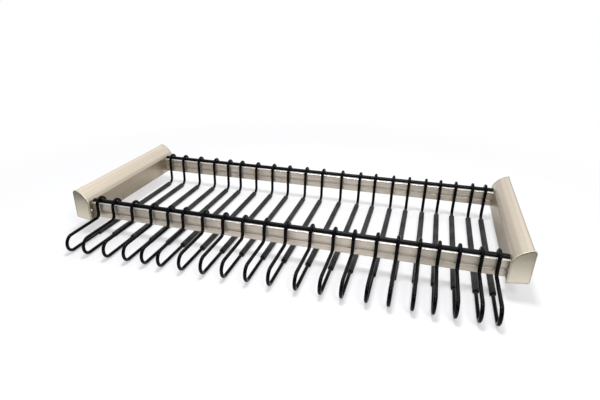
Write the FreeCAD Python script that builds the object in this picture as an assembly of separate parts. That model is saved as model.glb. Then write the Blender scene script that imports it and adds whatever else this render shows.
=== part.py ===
import FreeCAD, Part
import math
import os

from FreeCAD import Vector

# Pull-out trouser rack for a wardrobe. Two champagne side profiles hide telescopic
# ball runners, a front and a rear rail join them, and bent wire hangers with soft
# sleeves hook over both rails and slide along them.
#
# Working frame, in millimetres: X runs across the wardrobe from its middle, Y runs
# back from the front face of the end caps, Z runs up from the lower inner edge of
# the profiles. Each piece is shifted to the middle of the footprint when it is saved.

# Wardrobe opening
cabinet_width = 868.0
side_gap = 0.5

# Telescopic runner
runner_length = 350.0
runner_height = 45.5
runner_thickness = 12.7
runner_web = 1.2
runner_flange = 1.5
runner_lip = 0.9
runner_flange_setback = 1.7
runner_clearance = 1.0
runner_front_gap = 1.5
member_gap = 0.5
ball_diameter = 4.0
ball_race_depth = 0.4
ball_race_gap = 0.1
ball_pocket_gap = 0.1
balls_per_row = 5
ball_pitch = 30.0
outer_ball_inset = 6.0
inner_ball_setback = 3.9
cage_sheet = 0.8
cage_end_margin = 12.0
cage_flange_margin = 2.4

# Screw holes that fasten the runner to the wardrobe and to the profile
cabinet_hole_diameter = 5.0
cabinet_hole_front = 37.0
cabinet_hole_spacing = 224.0
cabinet_hole_count = 2
driver_hole_diameter = 10.0
runner_screw_margin = 60.0
runner_screw_count = 3

# Side profile extrusion
profile_width = 30.5
profile_crown = 9.8
profile_rail_cover = 3.0
profile_floor_rise = 4.5
profile_top_radius = 40.0
profile_wall = 1.8
profile_corner_radius = 3.0

# End caps
cap_thickness = 3.0
cap_overhang = 1.2
cap_side_overhang = 3.0
rear_cap_overhang = 0.4
cap_edge_radius = 1.0
cap_tongue_wall = 2.5
cap_tongue_gap = 0.25
cap_tongue_head_gap = 2.7
cap_screw_inset = 4.0
cap_screw_height = 19.5

# Cross rails
front_rail_setback = 14.0
rear_rail_setback = 17.5
rail_depth = 16.0
rail_height = 32.5
rail_lift = 3.5
rail_wall = 2.0
rail_web = 2.0
rail_top_radius = 2.4
rail_edge_radius = 0.6
rail_band_height = 12.0
rail_cove_height = 4.0
rail_cove_depth = 0.8
rail_port_low = 8.0
rail_port_below_top = 9.5
rail_port_wall = 2.0
rail_slot_lip = 3.0

# Plastic strip on top of each rail
strip_edge_inset = 2.6
strip_height = 5.6
strip_side_height = 1.5
strip_stem_gap = 0.2
strip_barb_height = 1.8
strip_barb_overhang = 0.5
strip_barb_tip = 2.3
strip_end_gap = 0.3

# Screws
screw_diameter = 4.0
screw_hole_gap = 0.1
screw_head_diameter = 7.6
screw_head_height = 2.2
rail_screw_bite = 18.0
runner_screw_bite = 2.0
cap_screw_diameter = 3.0
cap_screw_head_diameter = 5.6
cap_screw_head_height = 1.8

# Wire hangers and their sleeves
wire_diameter = 6.0
drop_bend_radius = 9.0
riser_bend_radius = 13.0
hook_gap = 3.2
hook_seat_gap = 0.3
hook_tail = 3.0
loop_reach = 113.0
loop_radius = 15.8
upper_leg_rise = 3.6
sleeve_diameter = 11.0
sleeve_fit = 0.05
sleeve_lead = 15.5
sleeve_bend_gap = 3.0
hanger_end_gap = 16.0

# How far each hanger has been pushed along the rails from an even spacing
hanger_nudges = (0, -1, 5, 10, 10, 5, 9, 13, 15, 20, 23, 31, 35, 32, 34, 31, 29, 22, 16, 12, 0)

# How closely an edge must lie on a place to be picked there
pick_tolerance = 0.01

# Places worked out from the sizes above
half_width = cabinet_width / 2
cap_outer_x = half_width - side_gap
profile_outer_x = cap_outer_x - cap_side_overhang
profile_inner_x = profile_outer_x - profile_width
web_outer_x = half_width - runner_thickness
web_inner_x = web_outer_x - profile_wall
chamber_x = profile_inner_x + profile_wall
profile_length = runner_length
profile_front_y = cap_thickness
profile_rear_y = profile_front_y + profile_length
rack_rear_y = profile_rear_y + cap_thickness

channel_floor_z = profile_floor_rise + profile_wall
channel_roof_z = channel_floor_z + runner_height + 2 * runner_clearance
runner_mid_z = (channel_floor_z + channel_roof_z) / 2
runner_front_y = profile_front_y + runner_front_gap
runner_mid_y = runner_front_y + runner_length / 2
runner_flange_reach = runner_thickness - runner_flange_setback
inner_ball_inset = runner_thickness - inner_ball_setback
runner_screw_spacing = (runner_length - 2 * runner_screw_margin) / (runner_screw_count - 1)

front_rail_y = front_rail_setback
rear_rail_y = rack_rear_y - rear_rail_setback - rail_depth
rail_bottom_z = rail_lift
rail_top_z = rail_lift + rail_height
rail_port_heights = (rail_port_low, rail_height - rail_port_below_top)
rail_slot_width = rail_depth - 2 * rail_wall - 2 * rail_slot_lip
strip_width = rail_depth - 2 * strip_edge_inset
strip_top_z = rail_top_z + strip_height

# The profile closes over the runner on one side and covers the ends of the rails on the other
profile_outer_height = channel_roof_z + profile_crown
profile_inner_height = rail_top_z + profile_rail_cover

# The tongue of each cap stops short of the heads of the screws that hold the front rail
cap_tongue_end = front_rail_y + rail_depth / 2 - screw_head_diameter / 2 - cap_tongue_head_gap
cap_tongue_length = cap_tongue_end - cap_thickness
cap_screw_depth = cap_thickness + cap_screw_inset

# The hooks sit on the crown of the strip and stand clear of the rail on both sides
wire_radius = wire_diameter / 2
hook_inner_radius = rail_depth / 2 + hook_gap
hook_radius = hook_inner_radius + wire_radius
hook_mid_z = strip_top_z + hook_seat_gap - hook_inner_radius
upper_leg_z = rail_bottom_z + upper_leg_rise
lower_leg_z = upper_leg_z - 2 * loop_radius
loop_tip_y = front_rail_y - loop_reach
loop_mid_y = loop_tip_y + wire_radius + loop_radius

hanger_count = len(hanger_nudges)
hanger_first_x = hanger_end_gap - profile_inner_x
hanger_pitch = -2 * hanger_first_x / (hanger_count - 1)

# The model's origin: middle of the footprint, level with the lowest sleeve
origin_y = (loop_tip_y + rack_rear_y) / 2
origin_z = lower_leg_z - max(sleeve_diameter, wire_diameter) / 2
to_origin = Vector(0, -origin_y, -origin_z)


def block(low, high):
    """A box between two corners."""
    size = Vector(*high) - Vector(*low)
    return Part.makeBox(size.x, size.y, size.z, Vector(*low))


def rod_across(x_from, x_to, y, z, radius):
    """A round bar along X."""
    start = min(x_from, x_to)
    return Part.makeCylinder(radius, abs(x_to - x_from), Vector(start, y, z), Vector(1, 0, 0))


def rod_along(y_from, y_to, x, z, radius):
    """A round bar along Y."""
    return Part.makeCylinder(radius, y_to - y_from, Vector(x, y_from, z), Vector(0, 1, 0))


def mirrored(shape):
    """The left-hand twin of a right-hand piece."""
    return shape.mirror(Vector(0, 0, 0), Vector(1, 0, 0))


def both_sides(solids):
    """Right-hand solids with their left-hand twins."""
    return solids + [mirrored(solid) for solid in solids]


def save(name, solids):
    """Write one node, shifted to the model's origin."""
    shape = Part.makeCompound(solids) if len(solids) > 1 else solids[0].copy()
    shape.translate(to_origin)
    shape.exportStep(f"parts/{name}.step")


def profile_arc_centre():
    """Centre of the curved top, from its two ends and its radius."""
    drop = profile_outer_height - profile_inner_height
    chord = math.hypot(profile_width, drop)
    reach = math.sqrt(profile_top_radius ** 2 - (chord / 2) ** 2)
    mid_x = (profile_outer_x + profile_inner_x) / 2
    mid_z = (profile_outer_height + profile_inner_height) / 2
    outward_x = -drop / chord
    outward_z = profile_width / chord
    return mid_x - outward_x * reach, mid_z - outward_z * reach


def arc_height(x, grow):
    """Height of the curved top at x, grown outwards by a wall or an overhang."""
    centre_x, centre_z = profile_arc_centre()
    return centre_z + math.sqrt((profile_top_radius + grow) ** 2 - (x - centre_x) ** 2)


def closed_under_arc(points, grow, y):
    """A face under the curved top: a polyline from the outer end to the inner end, closed by the arc."""
    corners = [Vector(x, y, z) for x, z in points]
    outer, inner = corners[0], corners[-1]
    middle_x = (outer.x + inner.x) / 2
    middle = Vector(middle_x, y, arc_height(middle_x, grow))
    arc = Part.Arc(inner, middle, outer).toShape()
    return Part.Face(Part.Wire(Part.makePolygon(corners).Edges + [arc]))


def floor_height(x):
    """Height of the profile's underside at x: it climbs from the inner edge to the wardrobe side."""
    return profile_floor_rise * (x - profile_inner_x) / profile_width


def outline(outer_x, grow, y):
    """Outside of the section, out to outer_x on the wardrobe side and grown on its other sides."""
    inner_x = profile_inner_x - grow
    points = [
        (outer_x, arc_height(outer_x, grow)),
        (outer_x, floor_height(outer_x) - grow),
        (inner_x, floor_height(inner_x) - grow),
        (inner_x, arc_height(inner_x, grow)),
    ]
    return closed_under_arc(points, grow, y)


def round_outer_corner(shape, outer_x):
    """Round the edge where the curved top meets the outer wall at outer_x."""
    edges = []
    for edge in shape.Edges:
        box = edge.BoundBox
        along = max(box.XLength, box.ZLength) < pick_tolerance
        outermost = box.XMin > outer_x - pick_tolerance
        if along and outermost and box.ZMin > profile_outer_height - pick_tolerance:
            edges.append(edge)
    return shape.makeFillet(profile_corner_radius, edges)


def channel_space(y_from, y_to):
    """The slot in the outer side that the runner lies in."""
    low = (web_outer_x, y_from, channel_floor_z)
    high = (half_width + runner_clearance, y_to, channel_roof_z)
    return block(low, high)


def rail_screw_places():
    """Y and Z of every screw that holds a rail to a profile."""
    places = []
    for rail_y in (front_rail_y, rear_rail_y):
        for height in rail_port_heights:
            places.append((rail_y + rail_depth / 2, rail_bottom_z + height))
    return places


def cap_screw_places():
    """Y and Z of the screws that hold the end caps."""
    return [(cap_screw_depth, cap_screw_height), (rack_rear_y - cap_screw_depth, cap_screw_height)]


def runner_screw_places():
    """Y and Z of the screws that hold the runner to the profile."""
    first = runner_front_y + runner_screw_margin
    return [(first + index * runner_screw_spacing, runner_mid_z) for index in range(runner_screw_count)]


def cabinet_hole_places():
    """Y of the holes that fasten the runner to the wardrobe."""
    first = runner_front_y + cabinet_hole_front
    return [first + index * cabinet_hole_spacing for index in range(cabinet_hole_count)]


def make_profile():
    """Right-hand side profile: hollow under the curved top, with an open channel for the runner."""
    along = Vector(0, profile_length, 0)
    section = outline(profile_outer_x, 0, profile_front_y)
    body = round_outer_corner(section.extrude(along), profile_outer_x)
    lip_x = profile_outer_x - profile_wall
    shelf_z = channel_roof_z + profile_wall
    inside_points = [
        (lip_x, arc_height(lip_x, -profile_wall)),
        (lip_x, floor_height(lip_x) + profile_wall),
        (chamber_x, floor_height(chamber_x) + profile_wall),
        (chamber_x, arc_height(chamber_x, -profile_wall)),
    ]
    inside = closed_under_arc(inside_points, -profile_wall, profile_front_y).extrude(along)
    jacket = block((web_inner_x, profile_front_y, 0), (half_width, profile_rear_y, shelf_z))
    hollow = inside.cut(jacket)
    tools = [hollow, channel_space(profile_front_y, profile_rear_y)]
    for y, z in rail_screw_places():
        tools.append(rod_across(profile_inner_x, chamber_x, y, z, screw_diameter / 2 + screw_hole_gap))
        tools.append(rod_across(web_inner_x, web_outer_x, y, z, driver_hole_diameter / 2))
    for y, z in cap_screw_places():
        tools.append(rod_across(profile_inner_x, chamber_x, y, z, cap_screw_diameter / 2 + screw_hole_gap))
    for y, z in runner_screw_places():
        tools.append(rod_across(web_inner_x, web_outer_x, y, z, screw_diameter / 2 + screw_hole_gap))
    for tool in tools:
        body = body.cut(tool)
    return body


def make_cap(face_y, into, outer_x, overhang):
    """Right-hand end cap: a thin plate, and a hollow tongue that plugs the profile's chamber.

    face_y is the visible face and into is +1 where the profile lies behind it, -1 where it lies in front.
    The plate reaches to outer_x on the wardrobe side and stands over the profile by overhang elsewhere.
    """
    section = outline(outer_x, overhang, face_y)
    plate = round_outer_corner(section.extrude(Vector(0, into * cap_thickness, 0)), outer_x)
    rim = []
    for edge in plate.Edges:
        box = edge.BoundBox
        if max(abs(box.YMin - face_y), abs(box.YMax - face_y)) < pick_tolerance:
            rim.append(edge)
    plate = plate.makeFillet(cap_edge_radius, rim)
    seat_y = face_y + into * cap_thickness
    end_y = seat_y + into * cap_tongue_length
    low_y, high_y = min(seat_y, end_y), max(seat_y, end_y)
    low_z = floor_height(web_inner_x) + profile_wall + cap_tongue_gap
    low = (chamber_x + cap_tongue_gap, low_y, low_z)
    high_z = arc_height(low[0], -profile_wall) - cap_tongue_gap
    high = (web_inner_x - cap_tongue_gap, high_y, high_z)
    tongue = block(low, high)
    pocket_low = (low[0] + cap_tongue_wall, low_y, low[2] + cap_tongue_wall)
    pocket_high = (high[0] - cap_tongue_wall, high_y, high[2] - cap_tongue_wall)
    tongue = tongue.cut(block(pocket_low, pocket_high))
    for y, z in cap_screw_places():
        tongue = tongue.cut(rod_across(low[0], pocket_low[0], y, z, cap_screw_diameter / 2 + screw_hole_gap))
    return plate, tongue


def make_front_cap():
    """Front cap, closed all over."""
    plate, tongue = make_cap(0, 1, cap_outer_x, cap_overhang)
    return plate.fuse(tongue).removeSplitter()


def make_rear_cap():
    """Rear cap, open where the runner passes through it."""
    outer_x = profile_outer_x + rear_cap_overhang
    plate, tongue = make_cap(rack_rear_y, -1, outer_x, rear_cap_overhang)
    plate = plate.cut(channel_space(profile_rear_y, rack_rear_y))
    return plate.fuse(tongue).removeSplitter()


def make_rail(face_y):
    """Hollow rail with a coved front, rounded top edges, a slot for the strip and screw ports on two webs."""
    half_length = profile_inner_x
    rear_y = face_y + rail_depth
    cove_low = rail_bottom_z + rail_band_height
    cove_high = cove_low + rail_cove_height
    corners = [
        Vector(-half_length, face_y, cove_high),
        Vector(-half_length, face_y, rail_top_z),
        Vector(-half_length, rear_y, rail_top_z),
        Vector(-half_length, rear_y, rail_bottom_z),
        Vector(-half_length, face_y, rail_bottom_z),
        Vector(-half_length, face_y, cove_low),
    ]
    cove_middle = Vector(-half_length, face_y + rail_cove_depth, (cove_low + cove_high) / 2)
    cove = Part.Arc(corners[-1], cove_middle, corners[0]).toShape()
    face = Part.Face(Part.Wire(Part.makePolygon(corners).Edges + [cove]))
    across = Vector(2 * half_length, 0, 0)
    body = face.extrude(across)
    for corner_z, radius in ((rail_top_z, rail_top_radius), (rail_bottom_z, rail_edge_radius)):
        long_edges = []
        for edge in body.Edges:
            box = edge.BoundBox
            on_corner_y = min(abs(box.YMin - face_y), abs(box.YMax - rear_y)) < pick_tolerance
            on_corner_z = abs(box.ZMin - corner_z) < pick_tolerance
            if box.XLength > half_length and on_corner_y and on_corner_z:
                long_edges.append(edge)
        body = body.makeFillet(radius, long_edges)
    hollow = block(
        (-half_length, face_y + rail_wall, rail_bottom_z + rail_wall),
        (half_length, rear_y - rail_wall, rail_top_z - rail_wall),
    )
    middle_y = face_y + rail_depth / 2
    port_radius = screw_diameter / 2 + screw_hole_gap
    boss_radius = port_radius + rail_port_wall
    for height in rail_port_heights:
        port_z = rail_bottom_z + height
        boss = rod_across(-half_length, half_length, middle_y, port_z, boss_radius)
        web = block(
            (-half_length, face_y, port_z - rail_web / 2),
            (half_length, rear_y, port_z + rail_web / 2),
        )
        hollow = hollow.cut(boss).cut(web)
    slot = block(
        (-half_length, middle_y - rail_slot_width / 2, rail_top_z - rail_wall),
        (half_length, middle_y + rail_slot_width / 2, rail_top_z),
    )
    body = body.cut(hollow).cut(slot)
    for height in rail_port_heights:
        port = rod_across(-half_length, half_length, middle_y, rail_bottom_z + height, port_radius)
        body = body.cut(port)
    return body


def make_strip(face_y):
    """Snap-in strip: a domed head on the rail, and a stem with a barb that grips under its top wall."""
    half_length = profile_inner_x - strip_end_gap
    middle_y = face_y + rail_depth / 2
    head = strip_width / 2
    stem = rail_slot_width / 2 - strip_stem_gap
    barb = rail_slot_width / 2 + strip_barb_overhang
    barb_top_z = rail_top_z - rail_wall - strip_stem_gap
    barb_low_z = barb_top_z - strip_barb_height
    right_side = [
        (head, rail_top_z + strip_side_height),
        (head, rail_top_z),
        (stem, rail_top_z),
        (stem, barb_top_z),
        (barb, barb_top_z),
        (strip_barb_tip / 2, barb_low_z),
    ]
    left_side = [(-offset, z) for offset, z in reversed(right_side)]
    corners = [Vector(-half_length, middle_y + offset, z) for offset, z in right_side + left_side]
    crown_middle = Vector(-half_length, middle_y, strip_top_z)
    crown = Part.Arc(corners[-1], crown_middle, corners[0]).toShape()
    face = Part.Face(Part.Wire(Part.makePolygon(corners).Edges + [crown]))
    return face.extrude(Vector(2 * half_length, 0, 0))


# Half-heights of the runner's nested channels, from the outside in
cabinet_flange_z = runner_height / 2 - runner_flange
ball_radius = ball_diameter / 2
outer_ball_z = cabinet_flange_z + ball_race_depth - ball_radius
middle_flange_top_z = outer_ball_z - ball_radius + ball_race_depth
middle_flange_z = middle_flange_top_z - runner_flange
inner_ball_z = middle_flange_z + ball_race_depth - ball_radius
drawer_flange_top_z = inner_ball_z - ball_radius + ball_race_depth
drawer_flange_z = drawer_flange_top_z - runner_flange

# Insets of the runner's webs from the wardrobe side
outer_cage_inset = runner_web + member_gap
middle_inset = outer_cage_inset + cage_sheet + member_gap
inner_cage_inset = middle_inset + runner_web + member_gap
drawer_tip_inset = inner_cage_inset + cage_sheet + member_gap


def channel(web_from, web_to, tip, half_outside, half_inside, y_from, y_to):
    """A C-shaped channel along the runner: its web between two insets, its flanges out to a tip."""
    low_inset, high_inset = min(web_from, tip), max(web_to, tip)
    outside = block(
        (half_width - high_inset, y_from, runner_mid_z - half_outside),
        (half_width - low_inset, y_to, runner_mid_z + half_outside),
    )
    inside_from, inside_to = (web_to, tip) if tip > web_to else (tip, web_from)
    inside = block(
        (half_width - inside_to, y_from, runner_mid_z - half_inside),
        (half_width - inside_from, y_to, runner_mid_z + half_inside),
    )
    return outside.cut(inside)


def lips(tip, half_inside, y_from, y_to):
    """Turned-in edges of a channel's two flanges."""
    solids = []
    for low_z, high_z in ((-half_inside, runner_lip - half_inside), (half_inside - runner_lip, half_inside)):
        low = (half_width - tip, y_from, runner_mid_z + low_z)
        high = (half_width - tip + runner_lip, y_to, runner_mid_z + high_z)
        solids.append(block(low, high))
    return solids


def races(inset, half_height, y_from, y_to):
    """Round tracks for the two rows of balls."""
    radius = ball_radius + ball_race_gap
    x = half_width - inset
    return [rod_along(y_from, y_to, x, runner_mid_z + side * half_height, radius) for side in (-1, 1)]


def make_cabinet_member():
    """Fixed channel that is screwed to the wardrobe side."""
    y_from, y_to = runner_front_y, runner_front_y + runner_length
    member = channel(0, runner_web, runner_flange_reach, runner_height / 2, cabinet_flange_z, y_from, y_to)
    for lip in lips(runner_flange_reach, cabinet_flange_z, y_from, y_to):
        member = member.fuse(lip)
    member = member.removeSplitter()
    for tool in races(outer_ball_inset, outer_ball_z, y_from, y_to):
        member = member.cut(tool)
    for y in cabinet_hole_places():
        hole = rod_across(half_width - runner_web, half_width, y, runner_mid_z, cabinet_hole_diameter / 2)
        member = member.cut(hole)
    return member


def make_middle_member():
    """Travelling channel between the two ball tracks, with holes that let a driver reach the fixed one."""
    y_from, y_to = runner_front_y, runner_front_y + runner_length
    web_to = middle_inset + runner_web
    member = channel(
        middle_inset, web_to, runner_flange_reach, middle_flange_top_z, middle_flange_z, y_from, y_to
    )
    for lip in lips(runner_flange_reach, middle_flange_z, y_from, y_to):
        member = member.fuse(lip)
    member = member.removeSplitter()
    tracks = races(outer_ball_inset, outer_ball_z, y_from, y_to)
    tracks += races(inner_ball_inset, inner_ball_z, y_from, y_to)
    for tool in tracks:
        member = member.cut(tool)
    web_x = half_width - middle_inset
    for y in cabinet_hole_places():
        member = member.cut(rod_across(web_x - runner_web, web_x, y, runner_mid_z, driver_hole_diameter / 2))
    return member


def make_drawer_member():
    """Inner channel that is screwed to the profile's web and carries the rack."""
    y_from, y_to = runner_front_y, runner_front_y + runner_length
    web_from = runner_thickness - runner_web
    member = channel(
        web_from, runner_thickness, drawer_tip_inset, drawer_flange_top_z, drawer_flange_z, y_from, y_to
    )
    for tool in races(inner_ball_inset, inner_ball_z, y_from, y_to):
        member = member.cut(tool)
    for y, z in runner_screw_places():
        hole = rod_across(web_outer_x, web_outer_x + runner_web, y, z, screw_diameter / 2 + screw_hole_gap)
        member = member.cut(hole)
    return member


def make_cage(web_inset, ball_inset, half_height):
    """One ball cage: a thin channel with a pocket round each ball, and the balls."""
    half_length = (balls_per_row - 1) * ball_pitch / 2 + cage_end_margin
    y_from, y_to = runner_mid_y - half_length, runner_mid_y + half_length
    half_sheet = cage_sheet / 2
    cage = channel(
        web_inset, web_inset + cage_sheet, ball_inset + cage_flange_margin,
        half_height + half_sheet, half_height - half_sheet, y_from, y_to,
    )
    x = half_width - ball_inset
    balls = []
    for index in range(balls_per_row):
        y = y_from + cage_end_margin + index * ball_pitch
        for side in (-1, 1):
            z = runner_mid_z + side * half_height
            pocket = Part.makeCylinder(
                ball_radius + ball_pocket_gap, 2 * cage_sheet, Vector(x, y, z - cage_sheet), Vector(0, 0, 1)
            )
            cage = cage.cut(pocket)
            balls.append(Part.makeSphere(ball_radius, Vector(x, y, z)))
    return [cage] + balls


def make_screw(seat_x, y, z, direction, length, diameter, head_diameter, head_height):
    """A pan-head screw: the head stands off seat_x and the shank runs the other way along X."""
    head = Part.makeCylinder(head_diameter / 2, head_height, Vector(seat_x, y, z), Vector(direction, 0, 0))
    crown_x = seat_x + direction * head_height
    crown = []
    for edge in head.Edges:
        box = edge.BoundBox
        if max(abs(box.XMin - crown_x), abs(box.XMax - crown_x)) < pick_tolerance:
            crown.append(edge)
    head = head.makeFillet(head_height / 2, crown)
    shank = rod_across(seat_x - direction * length, seat_x, y, z, diameter / 2)
    return head.fuse(shank).removeSplitter()


def make_rail_screws():
    """Screws in the profile's chamber that run through its inner wall into the rails' ports."""
    sizes = (profile_wall + rail_screw_bite, screw_diameter, screw_head_diameter, screw_head_height)
    return [make_screw(chamber_x, y, z, 1, *sizes) for y, z in rail_screw_places()]


def make_cap_screws():
    """Screws with their heads on the inner wall, run into the cap tongues."""
    length = profile_wall + cap_tongue_gap + cap_tongue_wall
    sizes = (length, cap_screw_diameter, cap_screw_head_diameter, cap_screw_head_height)
    return [make_screw(profile_inner_x, y, z, -1, *sizes) for y, z in cap_screw_places()]


def make_runner_screws():
    """Screws with their heads inside the drawer member, run through the profile's web."""
    seat_x = web_outer_x + runner_web
    length = runner_web + profile_wall + runner_screw_bite
    sizes = (length, screw_diameter, screw_head_diameter, screw_head_height)
    return [make_screw(seat_x, y, z, 1, *sizes) for y, z in runner_screw_places()]


def bend(start, centre, end):
    """A tangent arc round a centre, in the hanger's own plane."""
    toward = (start - centre) + (end - centre)
    middle = centre + toward.normalize() * (start - centre).Length
    return Part.Arc(start, middle, end).toShape()


def half_turn(start, middle, end):
    """A half circle through three points."""
    return Part.Arc(start, middle, end).toShape()


def run(start, end):
    """A straight stretch of wire."""
    return Part.LineSegment(start, end).toShape()


def make_hanger_wire():
    """One bent wire: hook, drop, front loop, trouser bar, riser and rear hook."""
    front_y = front_rail_y + rail_depth / 2
    rear_y = rear_rail_y + rail_depth / 2
    tail_z = hook_mid_z - hook_tail
    drop_y = front_y - hook_radius
    riser_y = rear_y - hook_radius

    def at(y, z):
        return Vector(0, y, z)

    edges = [
        run(at(front_y + hook_radius, tail_z), at(front_y + hook_radius, hook_mid_z)),
        half_turn(
            at(front_y + hook_radius, hook_mid_z),
            at(front_y, hook_mid_z + hook_radius),
            at(drop_y, hook_mid_z),
        ),
        run(at(drop_y, hook_mid_z), at(drop_y, upper_leg_z + drop_bend_radius)),
        bend(
            at(drop_y, upper_leg_z + drop_bend_radius),
            at(drop_y - drop_bend_radius, upper_leg_z + drop_bend_radius),
            at(drop_y - drop_bend_radius, upper_leg_z),
        ),
        run(at(drop_y - drop_bend_radius, upper_leg_z), at(loop_mid_y, upper_leg_z)),
        half_turn(
            at(loop_mid_y, upper_leg_z),
            at(loop_mid_y - loop_radius, upper_leg_z - loop_radius),
            at(loop_mid_y, lower_leg_z),
        ),
        run(at(loop_mid_y, lower_leg_z), at(riser_y - riser_bend_radius, lower_leg_z)),
        bend(
            at(riser_y - riser_bend_radius, lower_leg_z),
            at(riser_y - riser_bend_radius, lower_leg_z + riser_bend_radius),
            at(riser_y, lower_leg_z + riser_bend_radius),
        ),
        run(at(riser_y, lower_leg_z + riser_bend_radius), at(riser_y, hook_mid_z)),
        half_turn(
            at(riser_y, hook_mid_z),
            at(rear_y, hook_mid_z + hook_radius),
            at(rear_y + hook_radius, hook_mid_z),
        ),
        run(at(rear_y + hook_radius, hook_mid_z), at(rear_y + hook_radius, tail_z)),
    ]
    start = at(front_y + hook_radius, tail_z)
    section = Part.Wire(Part.makeCircle(wire_radius, start, Vector(0, 0, 1)))
    sweep = Part.BRepOffsetAPI.MakePipeShell(Part.Wire(edges))
    sweep.add(section)
    sweep.build()
    sweep.makeSolid()
    return sweep.shape()


def make_hanger_sleeve():
    """Soft tube on the trouser bar, from in front of the front rail to the rear bend."""
    riser_y = rear_rail_y + rail_depth / 2 - hook_radius
    y_from = front_rail_y - sleeve_lead
    y_to = riser_y - riser_bend_radius - sleeve_bend_gap
    tube = rod_along(y_from, y_to, 0, lower_leg_z, sleeve_diameter / 2)
    return tube.cut(rod_along(y_from, y_to, 0, lower_leg_z, wire_radius + sleeve_fit))


def hanger_places():
    """X of every hanger along the rails."""
    return [hanger_first_x + index * hanger_pitch + nudge for index, nudge in enumerate(hanger_nudges)]


def save_pair(name, right):
    """Write a right-hand piece and its left-hand twin."""
    save(f"right_{name}", [right])
    save(f"left_{name}", [mirrored(right)])


def main():
    """Build every piece and write one file for each node."""
    os.makedirs("parts", exist_ok=True)
    save_pair("side_profile", make_profile())
    save_pair("front_cap", make_front_cap())
    save_pair("rear_cap", make_rear_cap())
    for place, rail_y in (("front", front_rail_y), ("rear", rear_rail_y)):
        save(f"{place}_rail", [make_rail(rail_y)])
        save(f"{place}_rail_strip", [make_strip(rail_y)])
    save("cabinet_members", both_sides([make_cabinet_member()]))
    save("middle_members", both_sides([make_middle_member()]))
    save("drawer_members", both_sides([make_drawer_member()]))
    save("outer_ball_cages", both_sides(make_cage(outer_cage_inset, outer_ball_inset, outer_ball_z)))
    save("inner_ball_cages", both_sides(make_cage(inner_cage_inset, inner_ball_inset, inner_ball_z)))
    save("rail_screws", both_sides(make_rail_screws()))
    save("cap_screws", both_sides(make_cap_screws()))
    save("runner_screws", both_sides(make_runner_screws()))
    wire = make_hanger_wire()
    sleeve = make_hanger_sleeve()
    for number, x in enumerate(hanger_places(), start=1):
        shift = Vector(x, 0, 0)
        save(f"hanger_wire_{number:02d}", [wire.translated(shift)])
        save(f"hanger_sleeve_{number:02d}", [sleeve.translated(shift)])


main()
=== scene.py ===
"""Looks of a pull-out trouser rack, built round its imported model.

Metres, +Z up and -Y towards the user. Profiles, rear caps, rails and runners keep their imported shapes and
get procedural finishes. Front caps, strips, wires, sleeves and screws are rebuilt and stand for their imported
nodes.
"""

import logging
import math
from dataclasses import dataclass
from enum import Enum
from itertools import product

import bmesh
import bpy
from mathutils import Matrix, Vector


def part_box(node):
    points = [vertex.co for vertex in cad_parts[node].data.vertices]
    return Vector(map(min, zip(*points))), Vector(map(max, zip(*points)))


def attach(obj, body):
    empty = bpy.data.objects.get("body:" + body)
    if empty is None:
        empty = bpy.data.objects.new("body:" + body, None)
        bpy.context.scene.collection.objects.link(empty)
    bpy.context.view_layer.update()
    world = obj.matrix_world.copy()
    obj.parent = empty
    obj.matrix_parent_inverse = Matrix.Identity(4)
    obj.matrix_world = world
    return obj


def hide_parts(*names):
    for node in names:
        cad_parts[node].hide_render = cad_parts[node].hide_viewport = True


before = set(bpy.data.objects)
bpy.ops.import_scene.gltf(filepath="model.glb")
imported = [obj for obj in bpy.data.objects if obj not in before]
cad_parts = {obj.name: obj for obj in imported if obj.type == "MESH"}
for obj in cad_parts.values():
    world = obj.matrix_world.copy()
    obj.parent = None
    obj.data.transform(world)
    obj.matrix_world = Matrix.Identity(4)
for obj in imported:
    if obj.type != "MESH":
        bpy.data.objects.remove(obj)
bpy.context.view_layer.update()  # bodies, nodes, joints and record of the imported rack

log = logging.getLogger("trouser_rack")

PHOTO_WIDTH = 600.0
HANGER_COUNT = 21
FULL = (0.0, 1.0)  # whole range of a mask
CREASE = math.radians(35.0)  # angle past which an edge is sharp
QUARTER_TURN = 0.5 * math.pi

Pair = tuple[float, float]
Colour = tuple[float, float, float]
Place = tuple[float, float, float]
Socket = bpy.types.NodeSocket
Draft = bmesh.types.BMesh
Ring = list[bmesh.types.BMVert]


class Slot(Enum):
    """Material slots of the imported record."""

    PROFILE = "champagne_aluminium"
    RAIL = "champagne_rail"
    CAP = "champagne_cap"
    STRIP = "black_strip"
    WIRE = "black_coated_wire"
    SLEEVE = "grey_sleeve"
    RUNNER = "zinc_plated_steel"
    CAGE = "ball_cage_steel"
    SCREW = "bright_screw_steel"


class Grain(Enum):
    """Way that a pattern runs, as its repeats per metre along X, Y and Z."""

    ROUND = (1.0, 1.0, 1.0)
    ACROSS = (4.0, 1400.0, 1400.0)
    ALONG = (1400.0, 3.0, 1400.0)
    EVEN = (900.0, 500.0, 500.0)


class Axis(Enum):
    """Axis that a finish changes along."""

    OUTWARD = "X"
    BACK = "Y"
    UP = "Z"


class Side(Enum):
    """Side of the rack, as the sign of X."""

    LEFT = -1.0
    RIGHT = 1.0


class Facing(Enum):
    """Way that the heads of a set of screws face, as the sign of X on the right-hand side of the rack."""

    INWARD = -1.0
    OUTWARD = 1.0


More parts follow.
